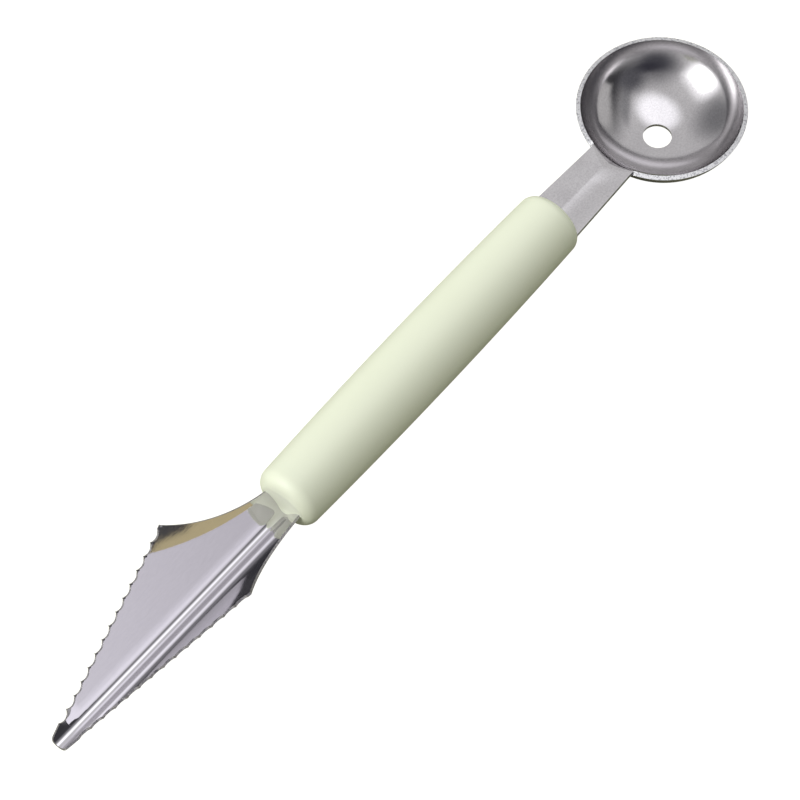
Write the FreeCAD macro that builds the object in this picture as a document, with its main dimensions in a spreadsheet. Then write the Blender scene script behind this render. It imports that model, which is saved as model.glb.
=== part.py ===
import FreeCAD
import Part
import Sketcher
import math
import os

# A two-headed melon baller. A moulded barrel handle holds a stamped spoon at one end
# and a folded, serrated carving blade at the other. Millimetres and degrees.
# Frame: origin in the middle of the handle's axis, +X along the axis towards the spoon,
# +Z up, the way that the bowl and the blade's trough open.

doc = FreeCAD.newDocument("melon_baller")

SIZES = {
    # Handle, a barrel turned about X
    "handle_length": 81.5,
    "handle_diameter": 14.6,
    "barrel_swell": 0.55,
    "spoon_end_round": 2.3,
    "blade_end_round": 2.6,
    # Gap left all round between the steel and the plastic that shrank on it
    "tang_clearance": 0.05,
    # Spoon: bowl, neck and tang from one sheet
    "spoon_sheet": 0.9,
    "bowl_mouth_diameter": 32.0,
    "bowl_crown_radius": 20.5,
    "bowl_knuckle_radius": 10.6,
    "bowl_knuckle_rise": 2.9,
    "rim_bevel": 0.2,
    "drain_hole_offset": 0.65,
    "drain_hole_diameter": 5.7,
    "bowl_reach": 34.1,
    "neck_drop": 1.06,
    "neck_width_at_bowl": 9.5,
    "neck_width_at_handle": 10.7,
    "neck_entry": 3.0,
    "spoon_tang_width": 7.0,
    "spoon_tang_length": 40.0,
    "spoon_lock_hole_diameter": 3.5,
    # Shallow roof pressed along the neck, which runs out just before the bowl
    "ridge_width": 9.0,
    "ridge_height": 0.2,
    "ridge_run_out": 2.5,
    "ridge_end_height": 0.03,
    "ridge_end_gap": 0.6,
    # Blade: two flat wings on a round fold, rising a little towards the tip
    "blade_sheet": 0.5,
    "wing_angle": 36.7,
    "fold_radius": 1.4,
    "fold_drop": 5.5,
    "blade_tilt": 1.3,
    "blade_reach": 62.6,
    "blade_tang_length": 24.0,
    "blade_lock_hole_diameter": 2.4,
    "blade_lock_height": 3.2,
    # Outline of a wing: along the fold from the handle, and up the wing from the fold's sharp corner
    "root_height": 6.6,
    "root_sweep_radius": 43.0,
    "barb_distance": 22.0,
    "barb_height": 18.3,
    "tip_height": 2.3,
    "tip_round": 0.9,
    # Scalloped teeth along the wing's edge
    "tooth_pitch": 2.83,
    "tooth_depth": 0.65,
    "barb_land": 1.1,
    "tip_land": 2.2,
}

sheet = doc.addObject("Spreadsheet::Sheet", "Sizes")
for row, (alias, number) in enumerate(SIZES.items(), start=1):
    sheet.set("A%d" % row, alias)
    sheet.set("B%d" % row, str(number))
    sheet.setAlias("B%d" % row, alias)
doc.recompute()


class Size:
    """A size with its present value and the sheet expression that it follows."""

    def __init__(self, value, text):
        self.value = float(value)
        self.text = text

    def __add__(self, other):
        other = as_size(other)
        return Size(self.value + other.value, "(%s + %s)" % (self.text, other.text))

    def __sub__(self, other):
        other = as_size(other)
        return Size(self.value - other.value, "(%s - %s)" % (self.text, other.text))

    def __mul__(self, other):
        other = as_size(other)
        return Size(self.value * other.value, "(%s * %s)" % (self.text, other.text))

    def __truediv__(self, other):
        other = as_size(other)
        return Size(self.value / other.value, "(%s / %s)" % (self.text, other.text))

    def __neg__(self):
        return Size(-self.value, "(0 - %s)" % self.text)


def as_size(number):
    return number if isinstance(number, Size) else Size(number, repr(number))


def size(alias):
    return Size(sheet.get(alias), "Sizes." + alias)


def sine(angle):
    return Size(math.sin(math.radians(angle.value)), "sin(%s)" % angle.text)


def cosine(angle):
    return Size(math.cos(math.radians(angle.value)), "cos(%s)" % angle.text)


def root(area):
    return Size(math.sqrt(area.value), "sqrt(%s)" % area.text)


def arc_radius(chord, rise):
    """Radius of the arc that stands on a chord and rises by this much over its middle."""
    return (chord * chord / 4 + rise * rise) / (rise * 2)


# How constraints name a sketch's own origin and axes, and the points of a curve
ORIGIN, UPRIGHT_AXIS = range(-1, -3, -1)
START, END, CENTRE = range(1, 4)

ZERO = as_size(0)
CLEARANCE = size("tang_clearance")
HANDLE_END = size("handle_length") / 2


def follow(thing, place, length):
    thing.setExpression(place, length.text)


def new_body(label):
    body = doc.addObject("PartDesign::Body", label)
    body.Label = label
    return body


def new_sketch(body, name, plane_role):
    sketch = body.newObject("Sketcher::SketchObject", name)
    plane = [item for item in body.Origin.OriginFeatures if item.Role == plane_role][0]
    sketch.AttachmentSupport = [(plane, "")]
    sketch.MapMode = "FlatFace"
    return sketch


def shift_sketch(sketch, along_x=ZERO, along_y=ZERO, along_normal=ZERO, turn=ZERO, axis=(0, 0, 1)):
    """Move a sketch from its plane, in the plane's own axes, and turn it about one of them."""
    base = FreeCAD.Vector(along_x.value, along_y.value, along_normal.value)
    sketch.AttachmentOffset = FreeCAD.Placement(base, FreeCAD.Rotation(FreeCAD.Vector(*axis), turn.value))
    for place, length in (("x", along_x), ("y", along_y), ("z", along_normal)):
        if length is not ZERO:
            follow(sketch, "AttachmentOffset.Base." + place, length)
    if turn is not ZERO:
        follow(sketch, "AttachmentOffset.Rotation.Angle", turn)


def constrain(sketch, kind, *where):
    return sketch.addConstraint(Sketcher.Constraint(kind, *where))


def dimension(sketch, kind, *where, length):
    """A driving dimension of a sketch that follows the sheet."""
    index = constrain(sketch, kind, *where, length.value)
    follow(sketch, "Constraints[%d]" % index, length)


def pin(sketch, curve, point, x, y):
    """Hold one point of a curve at x and y from the sketch's origin."""
    if x is ZERO:
        constrain(sketch, "PointOnObject", curve, point, UPRIGHT_AXIS)
    else:
        dimension(sketch, "DistanceX", ORIGIN, START, curve, point, length=x)
    if y is ZERO:
        constrain(sketch, "PointOnObject", curve, point, ORIGIN)
    else:
        dimension(sketch, "DistanceY", ORIGIN, START, curve, point, length=y)


def vector(x, y):
    return FreeCAD.Vector(x.value, y.value, 0)


def add_line(sketch, start, end, construction=False):
    return sketch.addGeometry(Part.LineSegment(vector(*start), vector(*end)), construction)


def add_arc(sketch, start, end, radius):
    """Arc from start to end, counter-clockwise and less than half a turn."""
    first = vector(*start)
    last = vector(*end)
    chord = last - first
    middle = (first + last) * 0.5
    across = FreeCAD.Vector(-chord.y, chord.x, 0).normalize()
    centre = middle + across * math.sqrt(radius.value ** 2 - (chord.Length / 2) ** 2)
    circle = Part.Circle(centre, FreeCAD.Vector(0, 0, 1), radius.value)
    begin = math.atan2(first.y - centre.y, first.x - centre.x)
    finish = math.atan2(last.y - centre.y, last.x - centre.x)
    curve = sketch.addGeometry(Part.ArcOfCircle(circle, begin, finish), False)
    dimension(sketch, "Radius", curve, length=radius)
    return curve


def draw_loop(sketch, corners, arcs=None):
    """Closed outline through the corners, each held in place.

    arcs gives the radius of each side that isn't straight, by the number of its first corner.
    A negative radius is a side that goes clockwise, which is drawn from its far end."""
    sides = []
    for number, corner in enumerate(corners):
        following = corners[(number + 1) % len(corners)]
        radius = (arcs or {}).get(number)
        if radius is None:
            sides.append((add_line(sketch, corner, following), START, END))
        elif radius.value > 0:
            sides.append((add_arc(sketch, corner, following, radius), START, END))
        else:
            sides.append((add_arc(sketch, following, corner, -radius), END, START))
    for number, (curve, first, last) in enumerate(sides):
        next_curve, next_first, _ = sides[(number + 1) % len(sides)]
        constrain(sketch, "Coincident", curve, last, next_curve, next_first)
        pin(sketch, curve, first, *corners[number])


def add_circle(sketch, x, y, radius):
    circle = sketch.addGeometry(Part.Circle(vector(x, y), FreeCAD.Vector(0, 0, 1), radius.value), False)
    pin(sketch, circle, CENTRE, x, y)
    dimension(sketch, "Radius", circle, length=radius)
    return circle


def extrude(body, kind, name, sketch, length, reverse=False, symmetric=False, other_length=None):
    """A Pad or a Pocket of the sketch."""
    feature = body.newObject("PartDesign::" + kind, name)
    feature.Profile = sketch
    feature.Reversed = reverse
    if symmetric:
        feature.SideType = "Symmetric"
    if other_length is not None:
        feature.SideType = "Two sides"
        follow(feature, "Length2", other_length)
    follow(feature, "Length", length)
    return feature


def revolve(body, kind, name, sketch, axis):
    """A Revolution or a Groove of the sketch, all the way round."""
    feature = body.newObject("PartDesign::" + kind, name)
    feature.Profile = sketch
    feature.ReferenceAxis = (sketch, [axis])
    feature.Angle = 360
    return feature


def place(body, x, y, z, tilt=None):
    """Put a body in the tool's frame, tilted about Y if asked."""
    spin = FreeCAD.Rotation(FreeCAD.Vector(0, 1, 0), tilt.value if tilt else 0)
    body.Placement = FreeCAD.Placement(FreeCAD.Vector(x.value, y.value, z.value), spin)
    for axis, length in (("x", x), ("y", y), ("z", z)):
        if length is not ZERO:
            follow(body, "Placement.Base." + axis, length)
    if tilt:
        follow(body, "Placement.Rotation.Angle", tilt)


def draw_channel(sketch, height, gap):
    """Section of the folded sheet, its inner faces meeting at the sketch's origin.

    The wings stand at wing_angle from the upright and are height long up their inner face.
    A gap grows the section all round, which gives the socket that the sheet sits in."""
    radius = size("fold_radius")
    thick = size("blade_sheet")
    along_x = sine(size("wing_angle"))
    along_y = cosine(size("wing_angle"))
    fold_centre = radius / along_x
    reach = height + gap

    def wing_point(up, out):
        return along_x * up + along_y * out, along_y * up - along_x * out

    def fold_point(arm):
        return along_y * arm, fold_centre - along_x * arm

    def mirrored(point):
        return -point[0], point[1]

    inner_top = wing_point(reach, -gap)
    outer_top = wing_point(reach, thick + gap)
    inner_arm = radius - gap
    outer_arm = radius + thick + gap
    inner_foot = fold_point(inner_arm)
    outer_foot = fold_point(outer_arm)

    near_side = [inner_foot, inner_top, outer_top, outer_foot]
    far_side = [mirrored(point) for point in reversed(near_side)]
    draw_loop(sketch, near_side + far_side, {3: -outer_arm, 7: inner_arm})


# Handle

handle = new_body("handle")
END_RADIUS = size("handle_diameter") / 2 - size("barrel_swell")
SPOON_ROUND = size("spoon_end_round")
BLADE_ROUND = size("blade_end_round")
CROWN_LENGTH = size("handle_length") - SPOON_ROUND - BLADE_ROUND

barrel_sketch = new_sketch(handle, "barrel_profile", "XZ_Plane")
barrel_corners = [
    (-HANDLE_END, ZERO),
    (HANDLE_END, ZERO),
    (HANDLE_END, END_RADIUS - SPOON_ROUND),
    (HANDLE_END - SPOON_ROUND, END_RADIUS),
    (-HANDLE_END + BLADE_ROUND, END_RADIUS),
    (-HANDLE_END, END_RADIUS - BLADE_ROUND),
]
crown_radius = arc_radius(CROWN_LENGTH, size("barrel_swell"))
draw_loop(barrel_sketch, barrel_corners, {2: SPOON_ROUND, 3: crown_radius, 4: BLADE_ROUND})
revolve(handle, "Revolution", "barrel", barrel_sketch, "H_Axis")

# The spoon's socket: a mouth for the end of the neck, then a slot for the tang
SPOON_SHEET = size("spoon_sheet")
NECK_TOP = -size("neck_drop")
SPOON_TANG_REACH = size("neck_entry") + size("spoon_tang_length")


def cut_spoon_socket(name, width, depth):
    sketch = new_sketch(handle, name + "_section", "YZ_Plane")
    shift_sketch(sketch, along_normal=HANDLE_END)
    half = width / 2 + CLEARANCE
    top = NECK_TOP + CLEARANCE
    bottom = NECK_TOP - SPOON_SHEET - CLEARANCE
    draw_loop(sketch, [(half, bottom), (half, top), (-half, top), (-half, bottom)])
    return extrude(handle, "Pocket", name, sketch, depth + CLEARANCE)


cut_spoon_socket("neck_mouth", size("neck_width_at_handle"), size("neck_entry"))
cut_spoon_socket("spoon_tang_slot", size("spoon_tang_width"), SPOON_TANG_REACH)

# Plastic that filled the lock hole of the spoon's tang
SPOON_LOCK_INSET = size("neck_entry") + size("spoon_tang_length") / 2
spoon_lock_sketch = new_sketch(handle, "spoon_lock_section", "XY_Plane")
shift_sketch(spoon_lock_sketch, along_normal=NECK_TOP - SPOON_SHEET / 2)
spoon_lock_radius = size("spoon_lock_hole_diameter") / 2 - CLEARANCE
add_circle(spoon_lock_sketch, HANDLE_END - SPOON_LOCK_INSET, ZERO, spoon_lock_radius)
extrude(handle, "Pad", "spoon_lock", spoon_lock_sketch, SPOON_SHEET * 2, symmetric=True)

# The blade's socket follows the folded sheet
blade_slot_sketch = new_sketch(handle, "blade_slot_section", "YZ_Plane")
shift_sketch(
    blade_slot_sketch,
    along_y=-size("fold_drop"),
    along_normal=-HANDLE_END,
    turn=size("blade_tilt"),
    axis=(1, 0, 0),
)
draw_channel(blade_slot_sketch, size("root_height"), CLEARANCE)
extrude(
    handle,
    "Pocket",
    "blade_tang_slot",
    blade_slot_sketch,
    size("blade_tang_length") + CLEARANCE,
    reverse=True,
    other_length=BLADE_ROUND,
)

# Plastic that filled the cross hole of the blade's tang and reaches past both wings
BLADE_SHEET = size("blade_sheet")
BLADE_LOCK = (size("blade_tang_length") / 2, size("blade_lock_height"))
BLADE_LOCK_RADIUS = size("blade_lock_hole_diameter") / 2
lock_top = size("blade_lock_height") + BLADE_LOCK_RADIUS
wing_spread = (lock_top * sine(size("wing_angle")) + BLADE_SHEET) / cosine(size("wing_angle"))
BLADE_LOCK_LENGTH = (wing_spread + BLADE_SHEET) * 2
blade_lock_sketch = new_sketch(handle, "blade_lock_section", "XZ_Plane")
shift_sketch(
    blade_lock_sketch,
    along_x=-HANDLE_END,
    along_y=-size("fold_drop"),
    turn=size("blade_tilt"),
    axis=(0, 0, -1),
)
add_circle(blade_lock_sketch, *BLADE_LOCK, BLADE_LOCK_RADIUS - CLEARANCE)
extrude(handle, "Pad", "blade_lock", blade_lock_sketch, BLADE_LOCK_LENGTH, symmetric=True)

# Spoon, in a frame of its own: origin in the middle of the bowl's mouth, level with the neck's top

spoon = new_body("spoon")
MOUTH = size("bowl_mouth_diameter") / 2
BEVEL = size("rim_bevel")

# The bowl is dished: a wide crown for its bottom and a tighter knuckle, centred above the rim, that turns it up
CROWN = size("bowl_crown_radius")
KNUCKLE = size("bowl_knuckle_radius")
KNUCKLE_RISE = size("bowl_knuckle_rise")
KNUCKLE_OUT = MOUTH - root(KNUCKLE * KNUCKLE - KNUCKLE_RISE * KNUCKLE_RISE)
BETWEEN = CROWN - KNUCKLE
CROWN_CENTRE = KNUCKLE_RISE + root(BETWEEN * BETWEEN - KNUCKLE_OUT * KNUCKLE_OUT)
BOWL_DEPTH = CROWN - CROWN_CENTRE
BEVEL_DROP = KNUCKLE_RISE + BEVEL


def dish_turn(crown):
    """Where a crown of this radius meets its knuckle."""
    return KNUCKLE_OUT / BETWEEN * crown, CROWN_CENTRE - (CROWN_CENTRE - KNUCKLE_RISE) / BETWEEN * crown


def dish_edge(knuckle):
    """Where a knuckle of this radius ends, at the foot of the rim's bevel."""
    return KNUCKLE_OUT + root(knuckle * knuckle - BEVEL_DROP * BEVEL_DROP), -BEVEL


# A solid dome first, with the rim's outer edge bevelled
dome_sketch = new_sketch(spoon, "dome_profile", "XZ_Plane")
OUTER_CROWN = CROWN + SPOON_SHEET
OUTER_KNUCKLE = KNUCKLE + SPOON_SHEET
outer_edge = dish_edge(OUTER_KNUCKLE)
dome_corners = [
    (ZERO, -BOWL_DEPTH - SPOON_SHEET),
    dish_turn(OUTER_CROWN),
    outer_edge,
    (outer_edge[0] - BEVEL, ZERO),
    (ZERO, ZERO),
]
draw_loop(dome_sketch, dome_corners, {0: OUTER_CROWN, 1: OUTER_KNUCKLE})
revolve(spoon, "Revolution", "dome", dome_sketch, "V_Axis")

# Neck and tang, one flat strip that runs into the dome
neck_sketch = new_sketch(spoon, "neck_outline", "XY_Plane")
at_handle = -size("bowl_reach")
at_shoulder = at_handle - size("neck_entry")
at_tang_end = at_handle - SPOON_TANG_REACH
inside_bowl = -MOUTH + SPOON_SHEET * 2
half_outline = [
    (inside_bowl, size("neck_width_at_bowl") / 2),
    (at_handle, size("neck_width_at_handle") / 2),
    (at_shoulder, size("neck_width_at_handle") / 2),
    (at_shoulder, size("spoon_tang_width") / 2),
    (at_tang_end, size("spoon_tang_width") / 2),
]
draw_loop(neck_sketch, half_outline + [(x, -y) for x, y in reversed(half_outline)])
extrude(spoon, "Pad", "neck", neck_sketch, SPOON_SHEET, reverse=True)

# The hollow leaves a wall of one sheet and ends the neck flush with its inside.
# Its flared mouth bevels the inner edge of the rim and runs on past the rim's face.
MOUTH_OVERRUN = 3
hollow_sketch = new_sketch(spoon, "hollow_profile", "XZ_Plane")
inner_edge = dish_edge(KNUCKLE)
flare = inner_edge[0] + BEVEL * MOUTH_OVERRUN
hollow_corners = [
    (ZERO, -BOWL_DEPTH),
    dish_turn(CROWN),
    inner_edge,
    (flare, BEVEL * MOUTH_OVERRUN - BEVEL),
    (flare, SPOON_SHEET),
    (ZERO, SPOON_SHEET),
]
draw_loop(hollow_sketch, hollow_corners, {0: CROWN, 1: KNUCKLE})
revolve(spoon, "Groove", "hollow", hollow_sketch, "V_Axis")

# The pressed ridge: a roof along the neck, its end sloped down, and the same roof sunk in the underside
RIDGE_WIDTH = size("ridge_width")
RIDGE_HEIGHT = size("ridge_height")
ridge_end = -MOUTH - SPOON_SHEET - size("ridge_end_gap")
ridge_slope = ridge_end - size("ridge_run_out")


def ridge_section(name, level):
    """The roof that the ridge has in section, standing on the given level at the handle's end."""
    sketch = new_sketch(spoon, name, "YZ_Plane")
    shift_sketch(sketch, along_normal=at_handle)
    draw_loop(sketch, [(RIDGE_WIDTH / 2, level), (ZERO, level + RIDGE_HEIGHT), (-RIDGE_WIDTH / 2, level)])
    return sketch


extrude(spoon, "Pad", "ridge", ridge_section("ridge_roof", ZERO), ridge_end - at_handle)
slope_sketch = new_sketch(spoon, "ridge_slope", "XZ_Plane")
beyond_ridge = ridge_end + size("ridge_end_gap") / 2
slope_corners = [
    (ridge_slope, RIDGE_HEIGHT),
    (ridge_end, size("ridge_end_height")),
    (beyond_ridge, size("ridge_end_height")),
    (beyond_ridge, RIDGE_HEIGHT * 2),
    (ridge_slope, RIDGE_HEIGHT * 2),
]
draw_loop(slope_sketch, slope_corners)
extrude(spoon, "Pocket", "ridge_run_out", slope_sketch, RIDGE_WIDTH * 2, symmetric=True)
underside = ridge_section("ridge_underside_roof", -SPOON_SHEET)
extrude(spoon, "Pocket", "ridge_underside", underside, ridge_slope - at_handle, reverse=True)

drain_sketch = new_sketch(spoon, "drain_hole_section", "XY_Plane")
add_circle(drain_sketch, -size("drain_hole_offset"), ZERO, size("drain_hole_diameter") / 2)
extrude(spoon, "Pocket", "drain_hole", drain_sketch, BOWL_DEPTH + SPOON_SHEET * 2)

spoon_hole_sketch = new_sketch(spoon, "lock_hole_section", "XY_Plane")
add_circle(spoon_hole_sketch, at_handle - SPOON_LOCK_INSET, ZERO, size("spoon_lock_hole_diameter") / 2)
extrude(spoon, "Pocket", "lock_hole", spoon_hole_sketch, SPOON_SHEET * 2)

place(spoon, HANDLE_END + size("bowl_reach"), ZERO, NECK_TOP)

# Carving blade, in a frame of its own: origin where the wings' inner faces would meet at the handle's end

blade = new_body("carving_blade")

channel_sketch = new_sketch(blade, "folded_sheet_section", "YZ_Plane")
draw_channel(channel_sketch, size("barb_height") + BLADE_SHEET, ZERO)
extrude(
    blade,
    "Pad",
    "folded_sheet",
    channel_sketch,
    size("blade_tang_length"),
    other_length=size("blade_reach"),
)

BARB = (-size("barb_distance"), size("barb_height"))
TIP = (-size("blade_reach"), size("tip_height"))
EDGE_RUN = BARB[0] - TIP[0]
EDGE_FALL = BARB[1] - TIP[1]
EDGE_LENGTH = root(EDGE_RUN * EDGE_RUN + EDGE_FALL * EDGE_FALL)
CUT_WIDTH = BLADE_SHEET * 4


def wing_sketch(name, side):
    """Sketch in the inner face of one wing: x along the fold, y up the wing."""
    sketch = new_sketch(blade, name, "XZ_Plane")
    shift_sketch(sketch, turn=size("wing_angle"), axis=(side, 0, 0))
    return sketch


def cut_wing_outline(name, side):
    """Take away the sheet above the tang, the swept root and the edge that falls to the tip."""
    sketch = wing_sketch(name + "_outline", side)
    above = size("barb_height") + BLADE_SHEET * 3
    beyond = -size("blade_reach") - BLADE_SHEET
    behind = size("blade_tang_length") + BLADE_SHEET
    root_start = (ZERO, size("root_height"))
    taken_off = size("tip_round") * (EDGE_LENGTH - EDGE_FALL) / EDGE_RUN
    share = taken_off / EDGE_LENGTH
    edge_end = (TIP[0] + EDGE_RUN * share, TIP[1] + EDGE_FALL * share)
    tip_end = (TIP[0], TIP[1] - taken_off)
    corners = [
        root_start,
        BARB,
        edge_end,
        tip_end,
        (beyond, tip_end[1]),
        (beyond, above),
        (behind, above),
        (behind, size("root_height")),
    ]
    draw_loop(sketch, corners, {0: -size("root_sweep_radius"), 2: size("tip_round")})
    return extrude(blade, "Pocket", name, sketch, CUT_WIDTH, symmetric=True)


def cut_teeth(name, side):
    """Scallop one wing's edge, from a land at the barb to a land at the tip."""
    sketch = wing_sketch(name + "_scallop", side)
    scallop = arc_radius(size("tooth_pitch"), size("tooth_depth"))
    along = (size("barb_land") + size("tooth_pitch") / 2) / EDGE_LENGTH
    out = (scallop - size("tooth_depth")) / EDGE_LENGTH
    edge = add_line(sketch, BARB, TIP, construction=True)
    pin(sketch, edge, START, *BARB)
    pin(sketch, edge, END, *TIP)
    middle_x = BARB[0] - EDGE_RUN * along - EDGE_FALL * out
    middle_y = BARB[1] - EDGE_FALL * along + EDGE_RUN * out
    add_circle(sketch, middle_x, middle_y, scallop)
    cut = extrude(blade, "Pocket", name + "_first", sketch, CUT_WIDTH, symmetric=True)
    doc.recompute()
    pattern = blade.newObject("PartDesign::LinearPattern", name)
    pattern.Originals = [cut]
    pattern.Direction = (sketch, ["Axis0"])
    pattern.Mode = "Spacing"
    follow(pattern, "Offset", size("tooth_pitch"))
    room = (EDGE_LENGTH - size("barb_land") - size("tip_land")) / size("tooth_pitch")
    pattern.setExpression("Occurrences", "floor(%s)" % room.text)
    blade.Tip = pattern


WINGS = (("left", -1), ("right", 1))
for wing, side in WINGS:
    cut_wing_outline(wing + "_wing", side)
for wing, side in WINGS:
    cut_teeth(wing + "_teeth", side)

cross_hole_sketch = new_sketch(blade, "cross_hole_section", "XZ_Plane")
add_circle(cross_hole_sketch, *BLADE_LOCK, BLADE_LOCK_RADIUS)
extrude(blade, "Pocket", "cross_hole", cross_hole_sketch, BLADE_LOCK_LENGTH, symmetric=True)

place(blade, -HANDLE_END, ZERO, -size("fold_drop"), tilt=size("blade_tilt"))

doc.recompute()

# Nothing is written unless every object is sound
for item in doc.Objects:
    if "Invalid" in item.State or "Error" in item.State:
        raise RuntimeError("%s failed: %s" % (item.Name, item.State))

pieces = [handle, spoon, blade]
for piece in pieces:
    if piece.Shape.isNull() or not piece.Shape.isValid() or len(piece.Shape.Solids) != 1:
        raise RuntimeError("%s is not one sound solid" % piece.Label)

os.makedirs("parts", exist_ok=True)
for piece in pieces:
    piece.Shape.exportStep("parts/%s.step" % piece.Label)
    box = piece.Shape.BoundBox
    print(piece.Label, "volume %.1f mm3" % piece.Shape.Volume, box)
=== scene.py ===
import math

import bmesh
import bpy
import numpy as np
from mathutils import Matrix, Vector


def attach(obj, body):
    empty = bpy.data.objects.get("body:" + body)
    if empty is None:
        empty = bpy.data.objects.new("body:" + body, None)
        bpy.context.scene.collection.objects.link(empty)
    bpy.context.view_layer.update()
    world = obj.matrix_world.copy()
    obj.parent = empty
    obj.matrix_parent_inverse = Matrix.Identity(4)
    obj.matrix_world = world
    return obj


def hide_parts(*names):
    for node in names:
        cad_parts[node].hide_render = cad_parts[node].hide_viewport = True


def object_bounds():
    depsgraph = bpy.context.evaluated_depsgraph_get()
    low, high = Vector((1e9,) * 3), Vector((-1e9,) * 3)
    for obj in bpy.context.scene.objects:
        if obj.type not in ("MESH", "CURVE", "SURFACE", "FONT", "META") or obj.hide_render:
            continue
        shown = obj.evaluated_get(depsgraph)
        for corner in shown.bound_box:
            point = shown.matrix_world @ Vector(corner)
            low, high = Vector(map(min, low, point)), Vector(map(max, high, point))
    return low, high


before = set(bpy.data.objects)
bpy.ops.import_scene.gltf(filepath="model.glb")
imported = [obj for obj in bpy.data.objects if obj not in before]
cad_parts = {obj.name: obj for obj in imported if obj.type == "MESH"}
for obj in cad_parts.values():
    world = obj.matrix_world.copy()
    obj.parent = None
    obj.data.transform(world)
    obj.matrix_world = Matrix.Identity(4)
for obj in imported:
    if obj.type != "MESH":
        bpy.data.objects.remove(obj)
cad_box = [list(corner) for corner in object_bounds()]

# Spoon: bowl, neck and tang stamped and drawn from one stainless sheet 0.9 mm thick,
# with a drain hole punched in the bowl and a shallow crease pressed along the neck.
# Its tang is held in the moulded handle.

MM = 0.001
BOWL_CENTRE = np.array([74.85, 0.0, -1.06]) * MM
BOWL_MOUTH = 16.0 * MM
CROWN = 20.5 * MM
KNUCKLE = 10.6 * MM
KNUCKLE_RISE = 2.9 * MM
KNUCKLE_OUT = BOWL_MOUTH - math.sqrt(KNUCKLE ** 2 - KNUCKLE_RISE ** 2)
CROWN_CENTRE = KNUCKLE_RISE + math.sqrt((CROWN - KNUCKLE) ** 2 - KNUCKLE_OUT ** 2)
DRAIN_RADIUS = 2.85 * MM
DRAIN_OFFSET = 0.65 * MM
DRAIN_FADE = 9.0 * MM
LIP_TURN = 0.03
SPOON_SHEET = 0.9 * MM
SPOON_EDGE = 0.25 * MM
# The neck's width to each side of its middle line, at the bowl and at the handle
NECK_RIGHT = np.array([4.75, 5.35]) * MM
NECK_LEFT = np.array([5.0, 5.9]) * MM
HANDLE_REACH = 34.1 * MM
NECK_ENTRY = 3.0 * MM
SHOULDER = 0.2 * MM
TANG_WIDTH = 7.0 * MM
TANG_LENGTH = 40.0 * MM
# The bend from the neck into the bowl: its radius is least at the neck's sides and more at its middle
BEND_MIDDLE = 0.4 * MM
BEND_REACH = 5.15 * MM
BEND_LEAST = 0.3 * MM
BEND_MORE = 3.2 * MM
# The crease: its place across, its trough's depth, and where the trough starts and is full, from the mouth
CREASE_PLACE = 0.5 * MM
CREASE_DEPTH = 0.13 * MM
CREASE_FADE = np.array([1.8, 6.5]) * MM


def stitch(rows, columns, closed=False):
    """Quads of a grid of points, row by row; a closed grid joins its last column to its first."""
    here = np.arange(rows * columns).reshape(rows, columns)
    right = np.roll(here, -1, axis=1)
    if not closed:
        here, right = here[:, :-1], right[:, :-1]
    return np.stack([here[:-1], right[:-1], right[1:], here[1:]], axis=-1).reshape(-1, 4)


def make_piece(name, points, quads):
    """One smooth mesh object from a list of points and a list of quads, doubles merged."""
    mesh = bpy.data.meshes.new(name)
    mesh.from_pydata(points.reshape(-1, 3).tolist(), [], quads.tolist())
    shell = bmesh.new()
    shell.from_mesh(mesh)
    bmesh.ops.remove_doubles(shell, verts=shell.verts, dist=1e-7)
    shell.to_mesh(mesh)
    shell.free()
    piece = bpy.data.objects.new(name, mesh)
    bpy.context.scene.collection.objects.link(piece)
    mesh.shade_smooth()
    return piece


def give_sheet(piece, thickness, edge):
    """Thicken a surface away from its normals and round the cut edges a little."""
    solid = piece.modifiers.new("sheet", "SOLIDIFY")
    solid.thickness = thickness
    solid.offset = -1
    solid.use_even_offset = True
    solid.material_offset_rim = 1
    bevel = piece.modifiers.new("deburred", "BEVEL")
    bevel.width = edge
    bevel.segments = 3
    bevel.limit_method = "ANGLE"
    bevel.angle_limit = math.radians(50)
    bevel.harden_normals = True


def ease(value, low, high):
    """A smooth step from 0 at low to 1 at high."""
    share = np.clip((value - low) / (high - low), 0, 1)
    return share * share * (3 - 2 * share)


def spoon_columns():
    """Angles round the bowl, counted from the neck, with the neck's columns first.

    The neck's columns stand at chosen places across it, one of them on the crease.
    The others are even."""
    across = np.concatenate([
        np.linspace(-NECK_RIGHT[0], CREASE_PLACE, 35)[:-1],
        np.linspace(CREASE_PLACE, NECK_LEFT[0], 26),
    ])
    neck = np.arcsin(across / BOWL_MOUTH)
    rest = np.linspace(neck[-1], neck[0] + 2 * np.pi, 209)[1:-1]
    return across, np.concatenate([neck, rest])


def dish(radius):
    """Height of the bowl's inside at a distance from its axis.

    The section is a wide arc round the axis, then a tighter arc that touches it."""
    meet = KNUCKLE_OUT * CROWN / (CROWN - KNUCKLE)
    crown = CROWN_CENTRE - np.sqrt(CROWN ** 2 - np.minimum(radius, meet) ** 2)
    knuckle = KNUCKLE_RISE - np.sqrt(KNUCKLE ** 2 - (np.maximum(radius, meet) - KNUCKLE_OUT) ** 2)
    return np.where(radius < meet, crown, knuckle)


def neck_press(x, y, edge):
    """Height of the neck: level left of the crease, a shallow trough from it to the right edge.

    Across, the trough is a cubic, deepest at a third of the way. It fades out before the bowl."""
    share = np.clip((CREASE_PLACE - y) / (CREASE_PLACE + edge), 0, 1)
    trough = CREASE_DEPTH * 27 / 4 * share * (1 - share) ** 2
    return -trough * ease(-x - BOWL_MOUTH, *CREASE_FADE)


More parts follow.
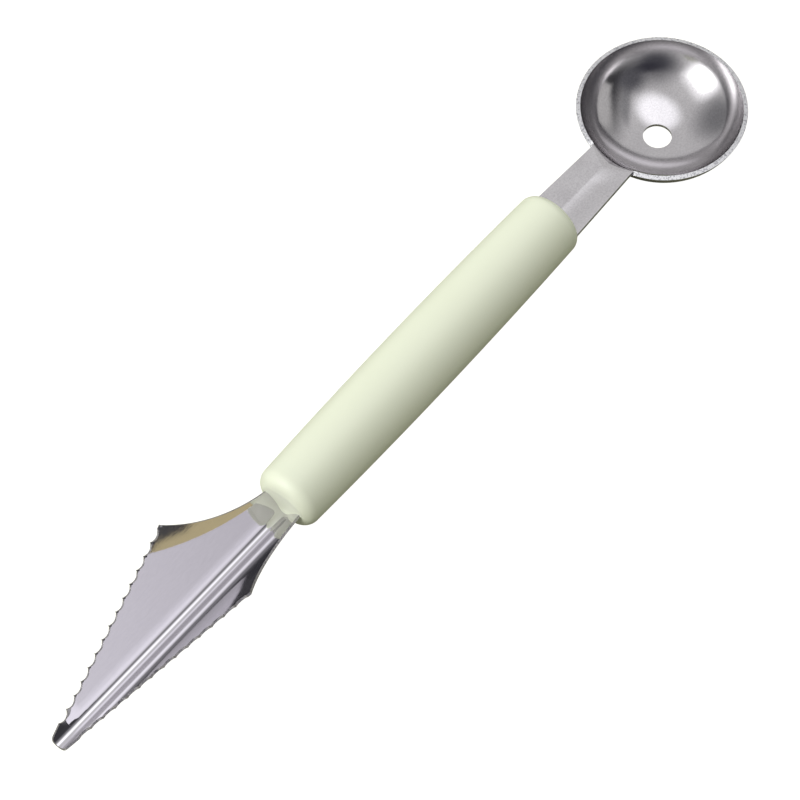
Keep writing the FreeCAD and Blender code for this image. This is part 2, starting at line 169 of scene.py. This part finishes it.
def press_spoon():
    """Upper surface of the spoon, in the bowl's own frame, as two grids that share the mouth.

    Bowl: angle round the axis by slope of the wall, from the hole, whose circle is off the middle, to
    the mouth. Neck: lines from the mouth's circle back to the tang, by place across. Where they meet,
    the wall turns over into the neck on an arc, half of it in each grid, that is wider in mid-neck."""
    across, turn = spoon_columns()
    mouth_slope = math.acos(KNUCKLE_RISE / KNUCKLE)
    meet_slope = math.asin(KNUCKLE_OUT / (CROWN - KNUCKLE))
    bend = BEND_LEAST + BEND_MORE * (1 - np.abs(across - BEND_MIDDLE) / BEND_REACH)
    bend_out = KNUCKLE_OUT + np.sqrt((KNUCKLE + bend) ** 2 - (KNUCKLE_RISE + bend) ** 2)
    bend_slope = np.arccos((KNUCKLE_RISE + bend) / (KNUCKLE + bend))
    half_turn = np.linspace(0, 1, 11)[1:]

    # Wall rows, up to where the bend starts in the neck's columns and nearly to the mouth in the others
    plain = np.full(len(turn) - len(across), mouth_slope - LIP_TURN)
    share = np.linspace(0, 1, 71)[:, None]
    first = math.asin(DRAIN_RADIUS / CROWN)
    slope = first + share * (np.concatenate([bend_slope, plain]) - first)
    radius = np.where(slope < meet_slope, CROWN * np.sin(slope), KNUCKLE_OUT + KNUCKLE * np.sin(slope))
    x = -radius * np.cos(turn) - DRAIN_OFFSET * (1 - ease(radius, DRAIN_RADIUS, DRAIN_FADE))
    y = radius * np.sin(turn)
    wall = np.stack([x, y, dish(np.hypot(x, y))], axis=-1)

    # Half of the bend in the neck's columns, the last of the wall in the others
    left = bend_slope * (1 - half_turn[:, None] / 2)
    lip = mouth_slope - LIP_TURN * (1 - half_turn[:, None])
    last = KNUCKLE_OUT + KNUCKLE * np.sin(lip) * np.ones(len(plain))
    radius = np.concatenate([bend_out - bend * np.sin(left), last], axis=1)
    height = np.concatenate([bend * (np.cos(left) - 1), dish(last)], axis=1)
    edge = np.stack([-radius * np.cos(turn), radius * np.sin(turn), height], axis=-1)

    # Neck rows: the other half of the bend, then back to the handle, the shoulder and the tang
    left = bend_slope / 2 * (1 - half_turn[:, None])
    radius = bend_out - bend * np.sin(left)
    around = turn[:len(across)]
    bent = np.stack([-radius * np.cos(around), radius * np.sin(around), bend * (np.cos(left) - 1)], axis=-1)
    flat = np.concatenate([
        np.linspace(0, 1, 61)[1:],
        1 + np.linspace(0, NECK_ENTRY, 4)[1:] / HANDLE_REACH,
        1 + (NECK_ENTRY + np.linspace(SHOULDER, TANG_LENGTH, 12)) / HANDLE_REACH,
    ])[:, None]
    begin = bent[-1, :, 0]
    x = np.where(flat <= 1, begin + (-HANDLE_REACH - begin) * flat, -HANDLE_REACH * flat)
    along = np.clip((-x - BOWL_MOUTH) / (HANDLE_REACH - BOWL_MOUTH), 0, 1)
    right = NECK_RIGHT[0] + (NECK_RIGHT[1] - NECK_RIGHT[0]) * along
    left = NECK_LEFT[0] + (NECK_LEFT[1] - NECK_LEFT[0]) * along
    in_tang = -x > HANDLE_REACH + NECK_ENTRY + SHOULDER / 2
    right = np.where(in_tang, TANG_WIDTH / 2, right)
    left = np.where(in_tang, TANG_WIDTH / 2, left)
    y = np.where(across < 0, across / NECK_RIGHT[0] * right, across / NECK_LEFT[0] * left)
    strip = np.stack([x, y, neck_press(x, y, right)], axis=-1)
    return np.concatenate([wall, edge]), np.concatenate([bent, strip])


bowl_grid, neck_grid = press_spoon()
neck_width = neck_grid.shape[1]
bowl_quads = stitch(*bowl_grid.shape[:2], closed=True)
neck_quads = stitch(neck_grid.shape[0] + 1, neck_width)
last_row = bowl_grid.shape[0] * bowl_grid.shape[1] - bowl_grid.shape[1]
# The neck's first row of corners is the bowl's last row, so those numbers point into the bowl
neck_numbers = np.concatenate([
    last_row + np.arange(neck_width),
    bowl_grid.shape[0] * bowl_grid.shape[1] + np.arange(neck_grid.shape[0] * neck_width),
])
spoon_points = np.concatenate([bowl_grid.reshape(-1, 3), neck_grid.reshape(-1, 3)]) + BOWL_CENTRE
spoon_quads = np.concatenate([bowl_quads, neck_numbers[neck_quads]])
spoon = make_piece("spoon_pressed", spoon_points, spoon_quads)
give_sheet(spoon, SPOON_SHEET, SPOON_EDGE)


def add_node(tree, kind, inputs=None, **settings):
    """A node with its settings and its input values; a socket given as an input is linked."""
    node = tree.nodes.new(kind)
    for name, value in settings.items():
        setattr(node, name, value)
    for name, value in (inputs or {}).items():
        socket = node.inputs[name]
        if isinstance(value, bpy.types.NodeSocket):
            tree.links.new(value, socket)
        else:
            socket.default_value = value
    return node


def new_finish(name):
    """An empty node material and its shader."""
    finish = bpy.data.materials.new(name)
    finish.use_nodes = True
    tree = finish.node_tree
    return finish, tree, tree.nodes["Principled BSDF"]


def stainless(name, dark, bright, rough, stretch, cloudy):
    """Rolled stainless steel: a fine stretched grain, a cloudy polish and tiny bumps.

    Grain and cloud together set both the colour and the roughness."""
    finish, tree, shader = new_finish(name)
    place = add_node(tree, "ShaderNodeTexCoord")
    drawn = add_node(tree, "ShaderNodeMapping", {"Vector": place.outputs["Object"], "Scale": stretch})
    fine = add_node(tree, "ShaderNodeTexNoise", {
        "Vector": drawn.outputs["Vector"], "Scale": 2600.0, "Detail": 3.0, "Roughness": 0.6,
    })
    cloud = add_node(tree, "ShaderNodeTexNoise", {
        "Vector": place.outputs["Object"], "Scale": 140.0, "Detail": 2.0,
    })
    mixed = add_node(tree, "ShaderNodeMath", {
        0: cloud.outputs["Fac"], 1: cloudy, 2: fine.outputs["Fac"],
    }, operation="MULTIPLY_ADD")
    middle = 0.5 + 0.5 * cloudy
    tone = add_node(tree, "ShaderNodeMapRange", {
        "Value": mixed.outputs["Value"], "From Min": middle - 0.3, "From Max": middle + 0.3,
    })
    colour = add_node(tree, "ShaderNodeMix", {
        "Factor": tone.outputs["Result"], 6: dark, 7: bright,
    }, data_type="RGBA")
    gloss = add_node(tree, "ShaderNodeMapRange", {
        "Value": tone.outputs["Result"], "To Min": rough[0], "To Max": rough[1],
    })
    bump = add_node(tree, "ShaderNodeBump", {
        "Height": fine.outputs["Fac"], "Strength": 0.05, "Distance": 0.02 * MM,
    })
    shader.inputs["Metallic"].default_value = 1.0
    tree.links.new(colour.outputs[2], shader.inputs["Base Color"])
    tree.links.new(gloss.outputs["Result"], shader.inputs["Roughness"])
    tree.links.new(bump.outputs["Normal"], shader.inputs["Normal"])
    return finish


spoon.data.materials.append(stainless(
    "spoon_satin_steel", (0.505, 0.49, 0.5, 1), (0.635, 0.62, 0.63, 1), (0.1, 0.14), (1, 1, 1), 0.7,
))

# Less polish on the neck and the bowl's brim than down in the bowl
DULL_FROM = -7.0 * MM
DULL_TO = -3.0 * MM
DULL_MORE = 0.08
satin = spoon.data.materials[0].node_tree
satin_shader = satin.nodes["Principled BSDF"]
polish = satin_shader.inputs["Roughness"].links[0].from_socket
spoon_place = add_node(satin, "ShaderNodeTexCoord")
spoon_part = add_node(satin, "ShaderNodeSeparateXYZ", {"Vector": spoon_place.outputs["Object"]})
duller = add_node(satin, "ShaderNodeMapRange", {
    "Value": spoon_part.outputs["Z"], "From Min": DULL_FROM, "From Max": DULL_TO, "To Max": DULL_MORE,
}, interpolation_type="SMOOTHSTEP")
satin_rough = add_node(satin, "ShaderNodeMath", {0: polish, 1: duller.outputs["Result"]}, operation="ADD")
satin.links.new(satin_rough.outputs[0], satin_shader.inputs["Roughness"])


def cut_edge(name, dark, bright):
    """Sheared steel: bright, with dark torn specks."""
    finish, tree, shader = new_finish(name)
    place = add_node(tree, "ShaderNodeTexCoord")
    torn = add_node(tree, "ShaderNodeTexNoise", {
        "Vector": place.outputs["Object"], "Scale": 3000.0, "Detail": 2.0,
    })
    tone = add_node(tree, "ShaderNodeMapRange", {
        "Value": torn.outputs["Fac"], "From Min": 0.36, "From Max": 0.5,
    })
    colour = add_node(tree, "ShaderNodeMix", {
        "Factor": tone.outputs["Result"], 6: dark, 7: bright,
    }, data_type="RGBA")
    bump = add_node(tree, "ShaderNodeBump", {
        "Height": torn.outputs["Fac"], "Strength": 0.3, "Distance": 0.05 * MM,
    })
    shader.inputs["Metallic"].default_value = 1.0
    shader.inputs["Roughness"].default_value = 0.5
    tree.links.new(colour.outputs[2], shader.inputs["Base Color"])
    tree.links.new(bump.outputs["Normal"], shader.inputs["Normal"])
    return finish


spoon.data.materials.append(cut_edge("spoon_cut_edge", (0.4, 0.4, 0.42, 1), (0.78, 0.78, 0.79, 1)))
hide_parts("spoon")
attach(spoon, "root")

# Carving blade: one stainless sheet 0.5 mm thick, its edges punched into scalloped teeth,
# then folded to a V with a round bottom. The V-shaped tang is held in the handle.

BLADE_PLACE = np.array([-40.75, 0.25, -5.5]) * MM
BLADE_TILT = math.radians(1.3)
BLADE_SHEET = 0.5 * MM
BLADE_EDGE = 0.07 * MM
WING_ANGLE = math.radians(36.7)
FOLD_LENGTH = 2.2 * MM
BLADE_TANG = 24.0 * MM
ROOT_HEIGHT = 6.6 * MM
ROOT_SWEEP = 43.0 * MM
BARB = np.array([22.0, 18.3]) * MM
TIP = np.array([62.6, 2.3]) * MM
TIP_ROUND = 0.9 * MM
TOOTH_PITCH = 2.83 * MM
TOOTH_DEPTH = 0.85 * MM
BARB_LAND = 0.7 * MM
TEETH = 14
CURL_WIDTH = 0.4 * MM
CURL_SLOPE = 0.6
# The left wing's lean starts at a distance up the sheet; its flare also at one along the fold
LEAN = math.radians(2.0)
LEAN_START = 2.2 * MM
LEAN_WIDTH = 1.0 * MM
FLARE = math.radians(5.5)
FLARE_START = 54.5 * MM
FLARE_WIDTH = 5.0 * MM
FLARE_FOOT = 1.2 * MM
# How the mesh's columns are spread over each wing
CROWDING = 3.6
EDGE_SHARE = 0.93


def wing_outline():
    """Outline of a wing from tang to tip: distance along the fold and height up the wing, as two arrays.

    A straight tang, a hollow arc out to the barb, a straight edge with a circle's arc cut in at each
    tooth, and a small round into the square end."""
    tang = np.stack([np.linspace(-BLADE_TANG, 0, 7)[:-1], np.full(6, ROOT_HEIGHT)])
    root = np.array([0.0, ROOT_HEIGHT])
    chord = BARB - root
    length = np.hypot(*chord)
    out = np.array([-chord[1], chord[0]]) / length
    centre = (root + BARB) / 2 + out * np.sqrt(ROOT_SWEEP ** 2 - length ** 2 / 4)
    swept = np.linspace(0, BARB[0], 60)
    sweep = np.stack([swept, centre[1] - np.sqrt(ROOT_SWEEP ** 2 - (swept - centre[0]) ** 2)])

    edge = TIP - BARB
    run = np.hypot(*edge)
    edge = edge / run
    inward = np.array([edge[1], -edge[0]])
    scallop = (TOOTH_PITCH ** 2 / 4 + TOOTH_DEPTH ** 2) / (2 * TOOTH_DEPTH)
    step = np.linspace(0, 1, 15)[:-1]
    tooth = (np.arange(TEETH)[:, None] + step[None, :]).ravel()
    land = np.linspace(0, BARB_LAND, 6)[1:-1]
    along = np.concatenate([land, BARB_LAND + tooth * TOOTH_PITCH])
    off = (tooth % 1 - 0.5) * TOOTH_PITCH
    cut = np.maximum(np.sqrt(np.maximum(scallop ** 2 - off ** 2, 0)) - (scallop - TOOTH_DEPTH), 0)
    cut = np.concatenate([np.zeros(len(land)), cut])
    teeth = BARB[:, None] + edge[:, None] * along + inward[:, None] * cut

    # The end: the edge's last stretch, then an arc that touches the edge and the square end
    fall = -edge[1] * run
    taken = TIP_ROUND * (run - fall) / (edge[0] * run)
    last = np.linspace(BARB_LAND + TEETH * TOOTH_PITCH, run - taken, 8)
    straight = BARB[:, None] + edge[:, None] * last
    middle = np.array([TIP[0] - TIP_ROUND, TIP[1] - taken])
    lead = math.pi / 2 - math.atan2(-edge[1], edge[0])
    swing = np.linspace(lead, 0, 9)[1:]
    ending = middle[:, None] + TIP_ROUND * np.stack([np.cos(swing), np.sin(swing)])
    return np.concatenate([tang, sweep, teeth, straight, ending], axis=1)


def fold_line():
    """Half of the fold across the blade: distances on the sheet, and the places sideways and up there.

    The sheet's slope grows from level to the wing's, ever more slowly. The places are running sums
    of its cosine and sine, raised so that the wings' straight lines would meet at zero height."""
    share = np.linspace(0, 1, 401)
    slope = (math.pi / 2 - WING_ANGLE) * (1 - (1 - share) ** 2)
    slope = (slope[1:] + slope[:-1]) / 2
    step = FOLD_LENGTH / len(slope)
    side = np.concatenate([[0], np.cumsum(np.cos(slope))]) * step
    rise = np.concatenate([[0], np.cumsum(np.sin(slope))]) * step
    return share * FOLD_LENGTH, side, rise + side[-1] / math.tan(WING_ANGLE) - rise[-1]


def fold_blade():
    """Inner surface of the blade: distance along the fold by distance across, measured on the sheet.

    Across, the sheet runs round the fold and then straight up the wing, to the outline's height. The
    columns crowd towards the fold and again at the edge. The left wing leans in a little, and out at
    its end. The tips of that wing's teeth are curled out by the punch, on a parabola that starts a
    little below the edge as it was before the scallops."""
    along, height = wing_outline()
    fold, fold_side, fold_rise = fold_line()
    up = fold_side * math.sin(WING_ANGLE) + fold_rise * math.cos(WING_ANGLE)
    half = np.where(height > up[-1], FOLD_LENGTH + height - up[-1], np.interp(height, up, fold))
    crowd = np.sinh(np.linspace(0, 1, 57) * CROWDING) / math.sinh(CROWDING)
    column = np.concatenate([crowd * EDGE_SHARE, np.linspace(EDGE_SHARE, 1, 9)[1:]])
    column = np.concatenate([-column[:0:-1], column])
    sheet = half[:, None] * column[None, :]
    off = np.abs(sheet)
    straight = np.maximum(off - FOLD_LENGTH, 0)
    side = np.interp(off, fold, fold_side) + straight * math.sin(WING_ANGLE)
    rise = np.interp(off, fold, fold_rise) + straight * math.cos(WING_ANGLE)
    bowed = np.clip(off - LEAN_START, 0, LEAN_WIDTH)
    lean = LEAN * (bowed ** 2 / (2 * LEAN_WIDTH) + np.maximum(off - LEAN_START - LEAN_WIDTH, 0))
    opened = ease(along, FLARE_START, FLARE_START + FLARE_WIDTH)[:, None]
    lean = (lean - FLARE * opened * np.maximum(off - FLARE_FOOT, 0)) * (sheet > 0)
    edge = np.interp(along, [BARB[0], TIP[0]], [BARB[1], TIP[1]])
    past = np.maximum(off - half[:, None] + (height - edge)[:, None] + CURL_WIDTH, 0)
    toothed = ((along > BARB[0]) & (along < FLARE_START))[:, None] * (sheet > 0)
    lean = lean - CURL_SLOPE * past ** 2 / (2 * CURL_WIDTH) * toothed
    side = side - lean * math.cos(WING_ANGLE)
    rise = rise + lean * math.sin(WING_ANGLE)
    x = -np.repeat(along[:, None], sheet.shape[1], axis=1)
    y = np.sign(sheet) * side
    tilted_x = x * math.cos(BLADE_TILT) + rise * math.sin(BLADE_TILT)
    tilted_z = rise * math.cos(BLADE_TILT) - x * math.sin(BLADE_TILT)
    return np.stack([tilted_x, y, tilted_z], axis=-1) + BLADE_PLACE


blade_grid = fold_blade()
blade = make_piece("blade_folded", blade_grid, stitch(*blade_grid.shape[:2]))
give_sheet(blade, BLADE_SHEET, BLADE_EDGE)
blade.data.materials.append(stainless(
    "blade_rolled_steel", (0.665, 0.65, 0.68, 1), (0.695, 0.68, 0.71, 1), (0.03, 0.06), (0.25, 1, 1), 0.2,
))
blade.data.materials.append(cut_edge("blade_cut_edge", (0.3, 0.29, 0.31, 1), (0.6, 0.58, 0.61, 1)))
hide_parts("carving_blade")
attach(blade, "root")

# Handle: one plastic barrel, pale green, moulded round both tangs.
# It swells a little in the middle and its ends are rounded over.

HANDLE_LENGTH = 81.5 * MM
END_RADIUS = 6.75 * MM
BARREL_SWELL = 0.55 * MM
SPOON_END_ROUND = 2.3 * MM
BLADE_END_ROUND = 2.6 * MM
# The sunk place in the blade's end: how deep, how far below the axis, how wide, and where its rim fades
SINK_DEPTH = 0.9 * MM
SINK_DROP = 3.0 * MM
SINK_RADIUS = 6.0 * MM
SINK_FADE = np.array([3.5, 6.2]) * MM


def turn_barrel():
    """The barrel as a profile carried round the X axis.

    The profile goes from the axis out along the flat end, round a quarter circle, along a
    shallow crown, round the other quarter circle and back to the axis. The blade's end is then
    sunk a little between the wings, where the plastic shrank as it set."""
    end = HANDLE_LENGTH / 2
    quarter = np.linspace(0, np.pi / 2, 15)
    crown_start, crown_end = -end + BLADE_END_ROUND, end - SPOON_END_ROUND
    crown = np.linspace(crown_start, crown_end, 81)[1:-1]
    place = 2 * (crown - crown_start) / (crown_end - crown_start) - 1
    x = np.concatenate([
        np.full(24, -end),
        -end + BLADE_END_ROUND * (1 - np.cos(quarter)),
        crown,
        end - SPOON_END_ROUND * (1 - np.sin(quarter)),
        np.full(6, end),
    ])
    radius = np.concatenate([
        np.linspace(0, END_RADIUS - BLADE_END_ROUND, 25)[:-1],
        END_RADIUS - BLADE_END_ROUND * (1 - np.sin(quarter)),
        END_RADIUS + BARREL_SWELL * (1 - place ** 2),
        END_RADIUS - SPOON_END_ROUND * (1 - np.cos(quarter)),
        np.linspace(END_RADIUS - SPOON_END_ROUND, 0, 7)[1:],
    ])
    angle = np.linspace(0, 2 * np.pi, 161)[:-1]
    y = radius[:, None] * np.cos(angle)
    z = radius[:, None] * np.sin(angle)
    off = np.hypot(y, z + SINK_DROP)
    sink = SINK_DEPTH * np.clip(1 - (off / SINK_RADIUS) ** 2, 0, 1)
    sink = sink * (1 - ease(radius, *SINK_FADE))[:, None] * (x < 0)[:, None]
    return np.stack([x[:, None] + sink, y, z], axis=-1)


barrel_grid = turn_barrel()
handle = make_piece("handle_barrel", barrel_grid, stitch(*barrel_grid.shape[:2], closed=True))

plastic, plastic_tree, plastic_shader = new_finish("pale_green_plastic")
plastic_place = add_node(plastic_tree, "ShaderNodeTexCoord")
plastic_cloud = add_node(plastic_tree, "ShaderNodeTexNoise", {
    "Vector": plastic_place.outputs["Object"], "Scale": 60.0, "Detail": 3.0,
})
plastic_colour = add_node(plastic_tree, "ShaderNodeMix", {
    "Factor": plastic_cloud.outputs["Fac"], 6: (0.865, 0.915, 0.70, 1), 7: (0.89, 0.935, 0.735, 1),
}, data_type="RGBA")
plastic_skin = add_node(plastic_tree, "ShaderNodeTexNoise", {
    "Vector": plastic_place.outputs["Object"], "Scale": 1500.0, "Detail": 2.0,
})
plastic_rough = add_node(plastic_tree, "ShaderNodeMapRange", {
    "Value": plastic_skin.outputs["Fac"],
    "From Min": 0.3, "From Max": 0.7, "To Min": 0.36, "To Max": 0.46,
})
plastic_bump = add_node(plastic_tree, "ShaderNodeBump", {
    "Height": plastic_skin.outputs["Fac"], "Strength": 0.08, "Distance": 0.03 * MM,
})
plastic_tree.links.new(plastic_colour.outputs[2], plastic_shader.inputs["Base Color"])
plastic_tree.links.new(plastic_rough.outputs["Result"], plastic_shader.inputs["Roughness"])
plastic_tree.links.new(plastic_bump.outputs["Normal"], plastic_shader.inputs["Normal"])
handle.data.materials.append(plastic)
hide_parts("handle")
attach(handle, "root")

# Studio: a plain floor just under the bowl that shows white to the camera, an even sky with
# soft patches of light and shade in it, and a low tan card beside the blade.

FLOOR_HALF = 2.0
FLOOR_GAP = 0.05 * MM
floor_x = np.array([-FLOOR_HALF, FLOOR_HALF, FLOOR_HALF, -FLOOR_HALF])
floor_y = np.array([-FLOOR_HALF, -FLOOR_HALF, FLOOR_HALF, FLOOR_HALF])
floor_z = np.full(4, cad_box[0][2] - FLOOR_GAP)
floor = make_piece("floor", np.stack([floor_x, floor_y, floor_z], axis=-1), np.array([[0, 1, 2, 3]]))
paper, paper_tree, paper_shader = new_finish("white_paper")
paper_shader.inputs["Base Color"].default_value = (0.27, 0.27, 0.18, 1)
paper_shader.inputs["Roughness"].default_value = 0.9
paper_shader.inputs["Emission Color"].default_value = (1, 1, 1, 1)
seen = add_node(paper_tree, "ShaderNodeLightPath").outputs["Is Camera Ray"]
paper_tree.links.new(seen, paper_shader.inputs["Emission Strength"])
floor.data.materials.append(paper)

# The card stands out of the camera's sight, where the far wing mirrors it; its top has a sloped step
CARD_AWAY = -150.0 * MM
card_x = np.array([-25.0, 70.0, 70.0, 3.0, -3.0, -25.0]) * MM
card_z = np.array([-12.0, -12.0, 5.9, 5.9, 8.4, 8.4]) * MM
card_points = np.stack([card_x, np.full(6, CARD_AWAY), card_z], axis=-1)
card = make_piece("card", card_points, np.array([[0, 1, 2, 3, 4, 5]]))
tan, tan_tree, tan_shader = new_finish("tan_card")
tan_shader.inputs["Base Color"].default_value = (0.62, 0.54, 0.34, 1)
tan_shader.inputs["Roughness"].default_value = 0.9
tan_shader.inputs["Emission Color"].default_value = (0.2, 0.165, 0.085, 1)
tan_shader.inputs["Emission Strength"].default_value = 1.0
card.data.materials.append(tan)
card.visible_camera = False

studio = bpy.data.worlds.new("studio")
studio.use_nodes = True
bpy.context.scene.world = studio
sky = studio.node_tree
backdrop = sky.nodes["Background"]
look = add_node(sky, "ShaderNodeTexCoord").outputs["Generated"]


def light_box(under, azimuth, elevation, wide, high, soft, power, colour):
    """Lay a soft-edged patch of light or shade over the sky, and return the sky's new colour.

    A direction is turned so that the patch's middle is at +X, and divided by its distance along X
    there. Its sideways and upward parts, over the patch's half sizes, which are given as angles, are
    joined by the rounded-oblong rule of this power, and the patch fades over soft round 1."""
    spun = add_node(sky, "ShaderNodeVectorRotate", {
        "Vector": look, "Axis": (0.0, 0.0, 1.0), "Angle": -math.radians(azimuth),
    }, rotation_type="AXIS_ANGLE")
    level = add_node(sky, "ShaderNodeVectorRotate", {
        "Vector": spun.outputs["Vector"], "Axis": (0.0, 1.0, 0.0), "Angle": math.radians(elevation),
    }, rotation_type="AXIS_ANGLE")
    part = add_node(sky, "ShaderNodeSeparateXYZ", {"Vector": level.outputs["Vector"]})
    ahead = add_node(sky, "ShaderNodeMath", {0: part.outputs["X"], 1: 0.001}, operation="MAXIMUM")
    raised = []
    for axis, half in (("Y", wide), ("Z", high)):
        ratio = add_node(sky, "ShaderNodeMath", {
            0: part.outputs[axis], 1: ahead.outputs[0],
        }, operation="DIVIDE")
        size = add_node(sky, "ShaderNodeMath", {0: ratio.outputs[0]}, operation="ABSOLUTE")
        scaled = add_node(sky, "ShaderNodeMath", {
            0: size.outputs[0], 1: math.tan(math.radians(half)),
        }, operation="DIVIDE")
        curved = add_node(sky, "ShaderNodeMath", {0: scaled.outputs[0], 1: power}, operation="POWER")
        raised.append(curved.outputs[0])
    total = add_node(sky, "ShaderNodeMath", {0: raised[0], 1: raised[1]}, operation="ADD")
    reach = add_node(sky, "ShaderNodeMath", {0: total.outputs[0], 1: 1 / power}, operation="POWER")
    share = add_node(sky, "ShaderNodeMapRange", {
        "Value": reach.outputs[0], "From Min": 1 - soft, "From Max": 1 + soft, "To Min": 1.0, "To Max": 0.0,
    }, interpolation_type="SMOOTHSTEP")
    return add_node(sky, "ShaderNodeMix", {
        "Factor": share.outputs["Result"], 6: under, 7: colour,
    }, data_type="RGBA").outputs[2]


# Azimuth, elevation and half sizes in degrees, softness, power and colour, each laid over those before:
# shade on the camera's side, to the right and to the left, light past the blade's tip and overhead
PATCHES = [
    (228, 30, 29, 29, 0.7, 2, (0.085, 0.085, 0.1, 1)),
    (304, 26, 44, 21, 0.7, 2, (0.055, 0.055, 0.06, 1)),
    (310, 51, 25, 5, 0.6, 2, (0.32, 0.32, 0.33, 1)),
    (246, 37, 19, 9, 0.6, 2, (0.05, 0.05, 0.065, 1)),
    (321, 19, 26, 15, 0.3, 2, (0.65, 0.645, 0.64, 1)),
    (271, 43, 16, 17, 0.6, 2, (0.13, 0.13, 0.145, 1)),
    (293, 11, 5, 17, 0.37, 2, (0.045, 0.045, 0.05, 1)),
    (102, 25, 22, 26, 0.7, 2, (0.27, 0.27, 0.28, 1)),
    (157, 28, 21, 26, 0.4, 4, (1.75, 1.75, 1.78, 1)),
    (157, 28, 13, 17, 0.4, 4, (6.0, 6.0, 6.0, 1)),
    (183, 98, 23, 18, 0.4, 2, (1.65, 1.65, 1.7, 1)),
]
shade = (0.74, 0.735, 0.74, 1)
for patch in PATCHES:
    shade = light_box(shade, *patch)
direct = add_node(sky, "ShaderNodeLightPath").outputs["Is Camera Ray"]
plain_white = add_node(sky, "ShaderNodeMix", {
    "Factor": direct, 6: shade, 7: (1, 1, 1, 1),
}, data_type="RGBA")
sky.links.new(plain_white.outputs[2], backdrop.inputs["Color"])

scene = bpy.context.scene
scene.view_settings.view_transform = "Standard"
camera = bpy.data.objects.new("camera", bpy.data.cameras.new("camera"))
scene.collection.objects.link(camera)
camera.data.lens = 200.6
camera.data.sensor_width = 36.0
camera.data.clip_start = 0.01
camera.data.clip_end = 100.0
camera_axes = np.array([
    [0.6319, 0.6668, -0.3950],
    [-0.7750, 0.5484, -0.3140],
    [0.0072, 0.5046, 0.8633],
])
camera_turn = Matrix(camera_axes.tolist()).to_4x4()
camera.matrix_world = Matrix.Translation((-0.3400, -0.2654, 0.7222)) @ camera_turn
scene.camera = camera
